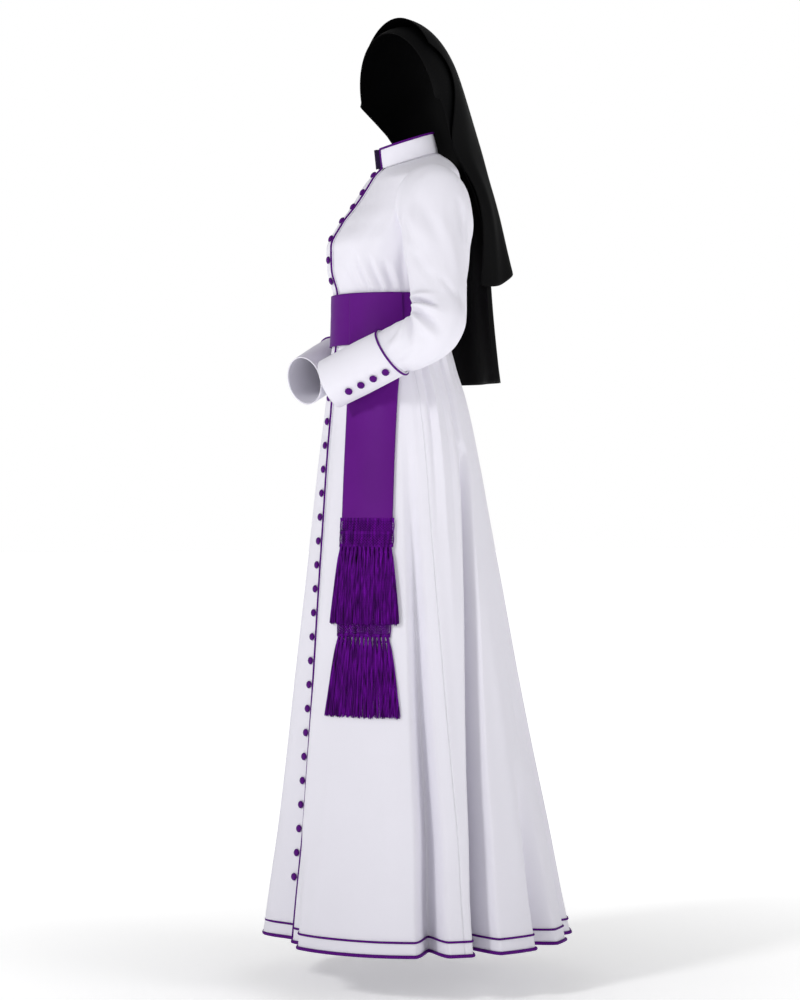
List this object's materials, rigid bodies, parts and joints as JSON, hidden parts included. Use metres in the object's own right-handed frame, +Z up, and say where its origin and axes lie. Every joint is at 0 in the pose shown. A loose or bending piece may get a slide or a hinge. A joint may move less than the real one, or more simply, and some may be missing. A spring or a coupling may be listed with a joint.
{
  "type": "cassock and veil set",
  "caption": "Worn white cassock with purple piping and buttons, a fringed fascia round the waist and a two-tier black veil, hollow and posed.",
  "frame": {"origin": "centre of the neck at the foot of the collar, where the shoulders carry the set", "axes": "+Z up, -Y the way the wearer's body faces, +X the wearer's left"},
  "size_m": [0.5804, 0.5639, 1.7063],
  "materials": {
    "white_cloth": "soft twill with a faint sheen",
    "purple_piping": "covered cord",
    "purple_buttons": "cord-covered dome",
    "dark_purple": "matt facing",
    "purple_satin": "silk satin",
    "purple_fringe": "silk net and fringe",
    "black_veil": "matt crepe"
  },
  "bodies": {
    "root": {"front_right": "white_cloth", "front_left": "white_cloth", "back_left": "white_cloth", "back_right": "white_cloth", "sleeve_left": "white_cloth", "sleeve_right": "white_cloth", "cuff_left": "white_cloth", "cuff_right": "white_cloth", "collar": "white_cloth", "collar_tab": "dark_purple", "piping": "purple_piping", "cuff_piping_left": "purple_piping", "cuff_piping_right": "purple_piping", "fascia_band": "purple_satin", "tail_front": "purple_satin", "tail_back": "purple_satin", "net_front": "purple_fringe", "net_back": "purple_fringe", "fringe_front": "purple_fringe", "fringe_back": "purple_fringe", "veil_inner": "black_veil", "veil_outer": "black_veil", "button_01": "purple_buttons", "button_02": "purple_buttons", "button_03": "purple_buttons", "button_04": "purple_buttons", "button_05": "purple_buttons", "button_06": "purple_buttons", "button_07": "purple_buttons", "button_08": "purple_buttons", "button_09": "purple_buttons", "button_10": "purple_buttons", "button_11": "purple_buttons", "button_12": "purple_buttons", "button_13": "purple_buttons", "button_14": "purple_buttons", "button_15": "purple_buttons", "button_16": "purple_buttons", "button_17": "purple_buttons", "button_18": "purple_buttons", "button_19": "purple_buttons", "button_20": "purple_buttons", "button_21": "purple_buttons", "button_22": "purple_buttons", "button_23": "purple_buttons", "button_24": "purple_buttons", "button_25": "purple_buttons", "button_26": "purple_buttons", "button_27": "purple_buttons", "button_28": "purple_buttons", "button_29": "purple_buttons", "cuff_button_left_1": "purple_buttons", "cuff_button_left_2": "purple_buttons", "cuff_button_left_3": "purple_buttons", "cuff_button_left_4": "purple_buttons", "cuff_button_right_1": "purple_buttons", "cuff_button_right_2": "purple_buttons", "cuff_button_right_3": "purple_buttons", "cuff_button_right_4": "purple_buttons"}
  },
  "joints": []
}
